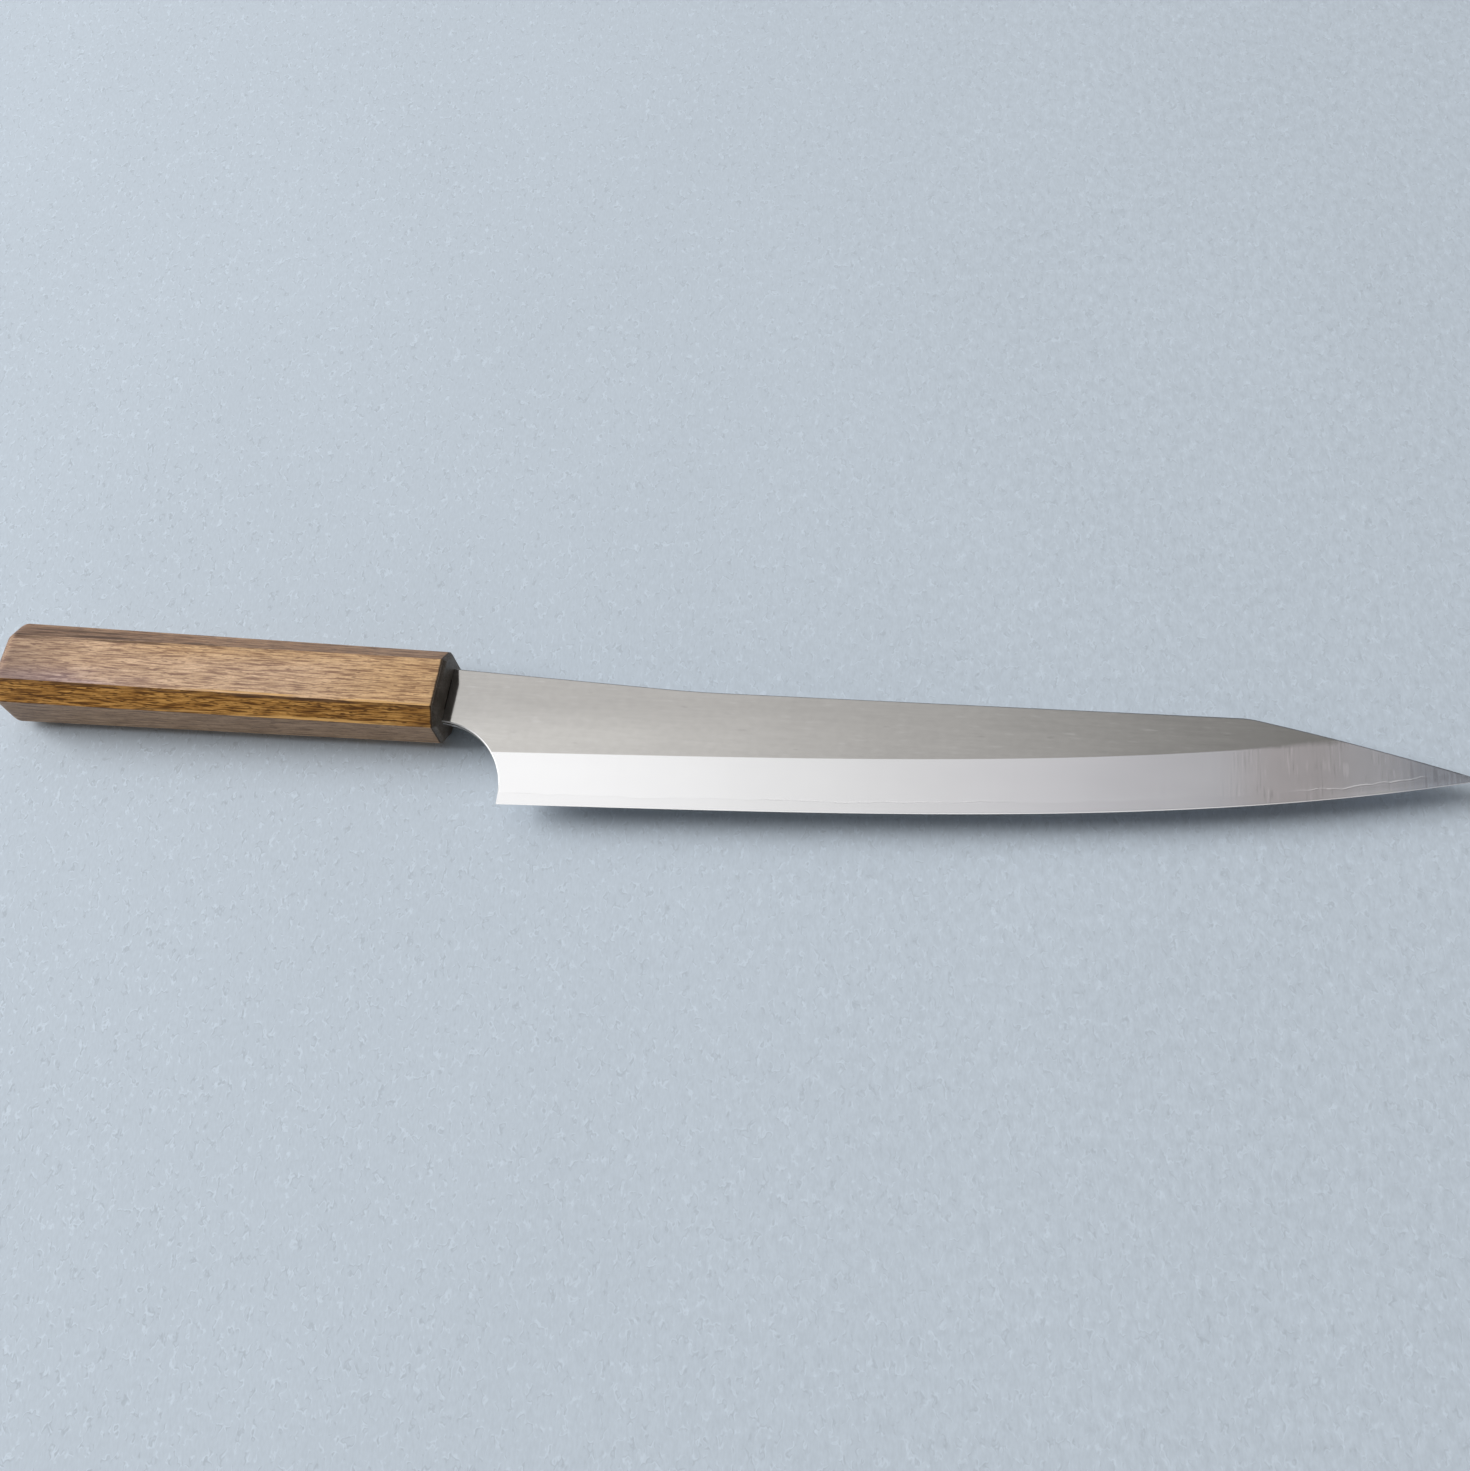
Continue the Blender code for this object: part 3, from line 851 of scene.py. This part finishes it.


# Short dashes of grain run along the handle. Each of its flats has a plain, a dark and a light
# colour: partly the grain's own cut, partly painted sheen and shade by the way the flat faces.
wood = {
    "top": (colour(184, 152, 123), colour(132, 102, 86), colour(220, 188, 156)),
    "honey": (colour(184, 146, 104), colour(126, 92, 64), colour(216, 178, 130)),
    "lilac": (colour(166, 140, 132), colour(124, 100, 100), colour(200, 174, 166)),
    "frontChamfer": (colour(137, 92, 34), colour(84, 50, 4), colour(202, 152, 82)),
    "backChamfer": (colour(142, 110, 84), colour(100, 78, 64), colour(170, 140, 114)),
    "side": (colour(152, 123, 96), colour(110, 86, 66), colour(176, 146, 118)),
    "endGrain": (colour(122, 96, 78), colour(84, 64, 54), colour(150, 122, 98)),
    "butt": colour(98, 78, 72),
    "shadowed": colour(74, 52, 38),  # in the lines along the ridges
    # pale lines by the ridges: a painted highlight, with some real wear
    "wornHighlight": colour(216, 170, 104),
    "scorched": colour(40, 28, 20),
    "roughness": 0.46,
    "specular": 0.35,
    "bump": (0.3, 0.06 * mm),
    "sway": (30, 120, 120),
    "swayBy": (0.0, 0.4 * mm, 0.4 * mm),
    # Repeats per metre along X, Y and Z, detail, and for one the span that becomes 0 to 1
    "fine": ((150, 2800, 2800), 0),
    "pores": ((420, 3600, 3600), 0, (0.42, 0.27)),
    "bands": ((110, 1300, 1300), 1),
    "long": ((60, 900, 900), 1),
    "broad": ((28, 260, 260), 2),
    "specks": ((1500, 2600, 2600), 0),
    "strokes": (0.7, 0.3),  # shares of fine and of bands
    "darkStrokes": (0.50, 0.33),
    "darkShares": (0.85, 0.8),  # of strokes and of pores
    "lightFine": (0.48, 0.68),
    "lightBands": (0.42, 0.66),
    "lightShares": (0.45, 0.55),
    "ragged": (0.35, 0.6),
    # Which way a point faces
    "onTop": (0.89, 0.97),
    "onSide": (0.78, 0.95),
    "behind": (-0.2, 0.2),
    # What changes along the handle: from, to, and the value at each
    "along": {
        "goldenRear": (-0.185, -0.155, 0.1, 0.75),
        "goldenFront": (-0.125, -0.080, 0.0, 0.9),
        "bruise": (-0.150, -0.185),
        "end": (-0.2108, -0.2136),
        "duller": (-0.125, -0.100),
        "butt": (-0.180, -0.213),
        "backLine": (-0.110, -0.150, 0.25, 1.0),
        "band": (-0.150, -0.180),
        "rubbedHighlight": (-0.180, -0.120),
        "scorch": (-0.07430, -0.07385, 0.0, 0.9),
    },
    "goldenPlace": (10 * mm, 17 * mm),
    "bruisePlace": (10 * mm, 2 * mm),
    "bruisePatches": (0.35, 0.6, 0.3, 1.0),
    "buttPatches": (0.3, 0.6, 0.35, 0.6),
    "buttLess": (-0.3, -0.6),  # on the front chamfer, off the top
    "frontDark": 0.25,
    "lightShare": 0.8,
    "uneven": (0.26, 0.30, 0.85),  # by broad, by specks, and plain
    "dullerBy": -0.10,
    # Across a flat, from 0 to 1, downwards on the front ones
    "across": {
        "underRidge": (0.17, 0.04),
        "backLineTop": (0.07, 0.01),
        "backLineUnder": (0.72, 0.92),
        "band": (0.15, 0.4),
        "rubbedHighlightFront": (0.88, 0.97),
        "rubbedHighlightTop": (0.96, 0.99),
    },
    # How strong a line is where the ragged noise is 0 and where it is 1
    "underRidge": (1.0, 0.4),
    "ridgeShare": 0.75,
    "backLine": (0.85, 0.15),
    "band": (0.85, 0.25),
    "rubbedHighlight": (0.42, 0.6, 0.1, 0.8),  # by the long noise
    "scorchSway": 0.5 * mm,
    "roughLight": (-0.08, 0.50),
    "poreDepth": 0.4,
    "sideRelief": -0.6,
}


def blendAll(mask, first, second):
    return [blendColour(mask, a, b) for a, b in zip(first, second)]


def woodMaterial():
    material, tree, shader = newMaterial("handleOak", wood["roughness"], wood["specular"])
    along = wood["along"]
    at = objectPoint(tree)
    x, y = split(at)[:2]
    sway = vectorCalc("SUBTRACT", noise(stretch(at, wood["sway"]), result="Color"), (0.5, 0.5, 0.5))
    grainAt = vectorCalc("ADD", at, vectorCalc("MULTIPLY", sway, wood["swayBy"]))
    grains = ("fine", "pores", "bands", "long", "broad")
    fine, pores, bands, long, broad = (pattern(grainAt, *wood[label]) for label in grains)
    (fineShare, bandShare), (strokeDark, poreDark) = wood["strokes"], wood["darkShares"]
    strokes = scaled(fine, fineShare, times(bands, bandShare))
    dark = larger(times(remap(strokes, *wood["darkStrokes"]), strokeDark), times(pores, poreDark))
    fineLight, bandLight = wood["lightShares"]
    bandLight = times(remap(bands, *wood["lightBands"]), bandLight)
    light = scaled(remap(fine, *wood["lightFine"]), fineLight, bandLight)
    ragged = remap(long, *wood["ragged"])

    faceY, faceZ, across = (attribute(tree, label) for label in ("faceY", "faceZ", "across"))
    onTop, onSide = remap(magnitude(faceZ), *wood["onTop"]), remap(magnitude(faceY), *wood["onSide"])
    behind = remap(faceY, *wood["behind"])
    notTop, notSide = opposite(onTop), opposite(onSide)
    onFront = times(notTop, notSide, opposite(behind))
    onBack = times(notTop, notSide, behind)

    # Honey near the back ridge, a cold bruise by the front ridge at the butt
    golden = times(remap(y, *wood["goldenPlace"]), remap(x, *along["goldenRear"]))
    golden = larger(golden, remap(x, *along["goldenFront"]))
    bruise = times(remap(y, *wood["bruisePlace"]), remap(x, *along["bruise"]))
    bruise = times(bruise, remap(broad, *wood["bruisePatches"]))
    top = blendAll(bruise, blendAll(golden, wood["top"], wood["honey"]), wood["lilac"])
    # each flat's colour: the grain's cut together with painted sheen and shade
    three = blendAll(onTop, blendAll(behind, wood["frontChamfer"], wood["backChamfer"]), top)
    three = blendAll(onSide, three, wood["side"])
    onEnd = remap(x, *along["end"])
    offEnd = opposite(onEnd)
    plain, darker, lighter = blendAll(onEnd, three, wood["endGrain"])
    dark = calc("MULTIPLY", dark, scaled(onFront, wood["frontDark"], 1.0), clamp=True)
    body = blendColour(dark, blendColour(times(light, wood["lightShare"]), plain, lighter), darker)
    specks = pattern(at, *wood["specks"])
    byBroad, bySpecks, evenTone = wood["uneven"]
    uneven = scaled(centred(broad), byBroad, scaled(specks, bySpecks, evenTone))
    duller = times(onBack, remap(x, *along["duller"]))
    body = tint(body, times(uneven, scaled(duller, wood["dullerBy"], 1.0)))
    lessFront, lessUnder = wood["buttLess"]
    buttShare = scaled(onFront, lessFront, scaled(notTop, lessUnder, 1.0))
    butt = times(remap(x, *along["butt"]), remap(broad, *wood["buttPatches"]), buttShare, offEnd)
    body = blendColour(butt, body, wood["butt"])

    def strip(face, label):  # a part of the way across one of the flats
        return times(face, remap(across, *wood["across"][label]))

    def torn(label):
        return remap(ragged, 0.0, 1.0, *wood[label])

    # Lines along the ridges
    underRidge = times(strip(onFront, "underRidge"), torn("underRidge"), offEnd, wood["ridgeShare"])
    backLine = plus(strip(onTop, "backLineTop"), strip(onBack, "backLineUnder"))
    backLine = times(backLine, remap(x, *along["backLine"]), offEnd, torn("backLine"))
    band = times(strip(onBack, "band"), remap(x, *along["band"]), offEnd, torn("band"))
    for line in (underRidge, backLine, band):
        body = blendColour(line, body, wood["shadowed"])
    # Pale lines by the ridges: a painted highlight, with some real rubbing
    rubbedHighlight = plus(strip(onFront, "rubbedHighlightFront"), strip(onTop, "rubbedHighlightTop"))
    rubbedHighlight = times(rubbedHighlight, remap(x, *along["rubbedHighlight"]), remap(long, *wood["rubbedHighlight"]))
    body = blendColour(rubbedHighlight, body, wood["wornHighlight"])
    byCap = remap(scaled(long, wood["scorchSway"], x), *along["scorch"])
    connect(blendColour(byCap, body, wood["scorched"]), shader.inputs["Base Color"])
    connect(scaled(light, *wood["roughLight"]), shader.inputs["Roughness"])
    relief = minus(strokes, times(pores, wood["poreDepth"]))
    addBump(shader, times(relief, scaled(onSide, wood["sideRelief"], 1.0)), *wood["bump"])
    return material


# Dull specks of a moulded or sanded black surface
black = {
    "darkDefault": (0.02, 0.02, 0.02, 1.0),
    "paleDefault": (0.05, 0.05, 0.05, 1.0),
    "scaleDefault": 1500.0,
    "specksRough": 0.6,
    "clouds": 260.0,
    "paleShare": (0.14, 0.40),
    "byWood": (-0.0735, -0.0728, 0.65, 1.0),
    "bump": (0.15, 0.03 * mm),
}


def makeSanded():
    tree, given, result = newGroup(
        "sanded",
        [
            ("Vector", "NodeSocketVector", None),
            ("Dark", "NodeSocketColor", black["darkDefault"]),
            ("Pale", "NodeSocketColor", black["paleDefault"]),
            ("Scale", "NodeSocketFloat", black["scaleDefault"]),
        ],
        [("Colour", "NodeSocketColor"), ("Height", "NodeSocketFloat")],
    )
    specks = noise(given["Vector"], scale=given["Scale"], detail=3.0, rough=black["specksRough"])
    clouds = noise(given["Vector"], scale=black["clouds"])
    share = remap(times(specks, clouds), *black["paleShare"])
    connect(blendColour(share, given["Dark"], given["Pale"]), result["Colour"])
    connect(specks, result["Height"])
    return tree


sanded = makeSanded()


def blackMaterial(name, dark, pale, scale, roughness):
    material, tree, shader = newMaterial(name, roughness)
    at = objectPoint(tree)
    made = useGroup(tree, sanded, {"Vector": at, "Dark": dark, "Pale": pale, "Scale": scale})
    byWood = remap(split(at)[0], *black["byWood"])
    connect(tint(made["Colour"], byWood), shader.inputs["Base Color"])
    addBump(shader, made["Height"], *black["bump"])
    return material


capBlack = blackMaterial("capBlack", colour(92, 80, 67), colour(126, 115, 104), 1800.0, 0.48)
beddingBlack = blackMaterial("beddingBlack", colour(14, 13, 12), colour(30, 28, 26), 1200.0, 0.5)

rings, attributes = woodRings()
woodMesh = gridMesh("handleWood", layDown(rings), attributes)
capMesh = gridMesh("frontCap", layDown(capRings()), wrap=True)
addPiece("handleWood", woodMesh, "handle_wood", woodMaterial(), handle["woodSmooth"])
addPiece("frontCap", capMesh, "front_cap", capBlack, handle["capSmooth"])
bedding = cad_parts["tang_bedding"]
bedding.data.materials.clear()
bedding.data.materials.append(beddingBlack)
print("handle: wood, cap and bedding")


# Floor, light and camera

paper = {
    "size": 6.0,
    "colour": colour(188, 198, 208),
    "roughness": 0.85,
    "specular": 0.2,
    "turn": (0.0, 0.0, -0.12),
    "bendScale": 260.0,
    "bendBy": (2.2 * mm, 2.2 * mm, 0.0),
    # Repeats per metre along X, Y and Z, detail, span, roughness of the noise
    "fibres": ((1500, 520, 1), 2, None, 0.6),  # short and upright, as the sheet lies
    "wisps": ((500, 300, 1), 1, (0.46, 0.60)),
    "curls": ((330, 200, 1), 2, None, 0.6),
    "pulp": ((430, 250, 1), 2, None, 0.6),
    "clouds": ((14, 9, 1), 2),
    "curlMiddles": (0.5, 0.56),  # noise values where a fibre is pale and where it is dark
    "curlWidth": 0.035,
    "fibreTone": 0.19,
    "cloudTone": 0.06,
    "curlTone": (0.15, -0.20, 0.10, 0.15),  # from, to along X, and the tone at each
    "pulpTone": (-0.10, 0.15, 0.06, 0.28),
    "bump": (0.15, 0.15 * mm),
}


def paperMaterial():  # thin curling fibres and soft clouds in a pale sheet
    material, tree, shader = newMaterial("palePaper", paper["roughness"], paper["specular"])
    at = objectPoint(tree)
    turned = stretch(at, turn=paper["turn"])
    bend = noise(at, scale=paper["bendScale"], detail=1.0, result="Color")
    bent = vectorCalc("ADD", turned, vectorCalc("MULTIPLY", bend, paper["bendBy"]))
    fibres, clouds = pattern(turned, *paper["fibres"]), pattern(at, *paper["clouds"])
    wisps, curls, pulp = (pattern(bent, *paper[label]) for label in ("wisps", "curls", "pulp"))
    pale, deep = (
        remap(magnitude(minus(curls, middle)), paper["curlWidth"], 0.0)
        for middle in paper["curlMiddles"]
    )
    raised = times(minus(pale, deep), wisps)
    x = split(at)[0]
    tone = scaled(centred(fibres), paper["fibreTone"], 1.0)
    tone = scaled(centred(clouds), paper["cloudTone"], tone)
    tone = scaled(centred(pulp), remap(x, *paper["pulpTone"]), tone)
    tone = scaled(raised, remap(x, *paper["curlTone"]), tone)
    connect(tint(paper["colour"], tone), shader.inputs["Base Color"])
    addBump(shader, fibres, *paper["bump"])
    return material


half = paper["size"] / 2
floorMesh = bpy.data.meshes.new("floor")
floorCorners = [(-half, -half, 0), (half, -half, 0), (half, half, 0), (-half, half, 0)]
floorMesh.from_pydata(floorCorners, [], [(0, 1, 2, 3)])
floorMesh.materials.append(paperMaterial())
floor = addObject("floor", floorMesh)

light = {
    "lowPanel": (1.5, 0.2),  # strength near the floor, in front and behind
    "highPanel": (0.2, 1.165),  # and higher up
    "skyHigh": (0.05, 0.60),
    "skyBack": (-0.35, 0.15),
    "skyAcross": (-0.335, 0.356),
    "skyRight": 0.134,  # share of both that is left on the tip's side
    "keyDirection": (-0.85, 0.12, 0.51),
    "keyDistance": 4.0,
    "keySize": 2.55,
    "keyWatts": 192.0,
}


def setWorld():  # two large soft panels on the left: a high one behind, and a low one in front
    world = bpy.data.worlds.new("softStudio")
    bpy.context.scene.world = world
    world.use_nodes = True
    tree = world.node_tree
    background = tree.nodes["Background"]
    right, back, up = split(addNode(tree, "TexCoord").outputs["Generated"])
    low = remap(back, *light["skyBack"], *light["lowPanel"])
    high = remap(back, *light["skyBack"], *light["highPanel"])
    strength = remap(up, *light["skyHigh"], low, high)
    across = remap(right, *light["skyAcross"], 1.0, light["skyRight"])
    background.inputs["Color"].default_value = (1, 1, 1, 1)
    connect(times(across, strength), background.inputs["Strength"])


def addKey():  # a round lamp on the left that gives the soft shadows
    lamp = bpy.data.lights.new("key", "AREA")
    lamp.shape = "DISK"
    lamp.size = light["keySize"]
    lamp.energy = light["keyWatts"]
    direction = Vector(light["keyDirection"]).normalized()
    key = addObject("key", lamp)
    key.location = direction * light["keyDistance"]
    key.rotation_euler = direction.to_track_quat("Z", "Y").to_euler()
    key.visible_glossy = False  # satin steel reflects only the panels


# Where the photograph was taken from, round the point on the floor in the picture's middle
shot = {
    "azimuth": 20.9987,  # degrees from straight in front, towards the tip
    "elevation": 61.7784,
    "roll": -15.2773,
    "distance": 465.591 * mm,
    "target": (12.1876 * mm, 7.4308 * mm, 0.0),
    "focalPixels": 1600.0,
    "frameWidth": 1470.0,
    "sensorWidth": 36.0,
    "clipStart": 0.01,
}


def addCamera():
    azimuth, elevation, roll = (math.radians(shot[key]) for key in ("azimuth", "elevation", "roll"))
    back = Vector((
        math.sin(azimuth) * math.cos(elevation),
        -math.cos(azimuth) * math.cos(elevation),
        math.sin(elevation),
    ))
    level = Vector((math.cos(azimuth), math.sin(azimuth), 0))
    right = math.cos(roll) * level + math.sin(roll) * back.cross(level)
    turn = Matrix((right, back.cross(right), back)).transposed().to_4x4()
    lens = bpy.data.cameras.new("camera")
    lens.sensor_width = shot["sensorWidth"]
    lens.sensor_fit = "HORIZONTAL"
    lens.lens = shot["focalPixels"] / shot["frameWidth"] * lens.sensor_width
    lens.clip_start = shot["clipStart"]
    camera = addObject("camera", lens)
    place = Vector(shot["target"]) + back * shot["distance"]
    camera.matrix_world = Matrix.Translation(place) @ turn
    bpy.context.scene.camera = camera


setWorld()
addKey()
addCamera()
bpy.context.scene.view_settings.view_transform = "Standard"
print("floor, light and camera")
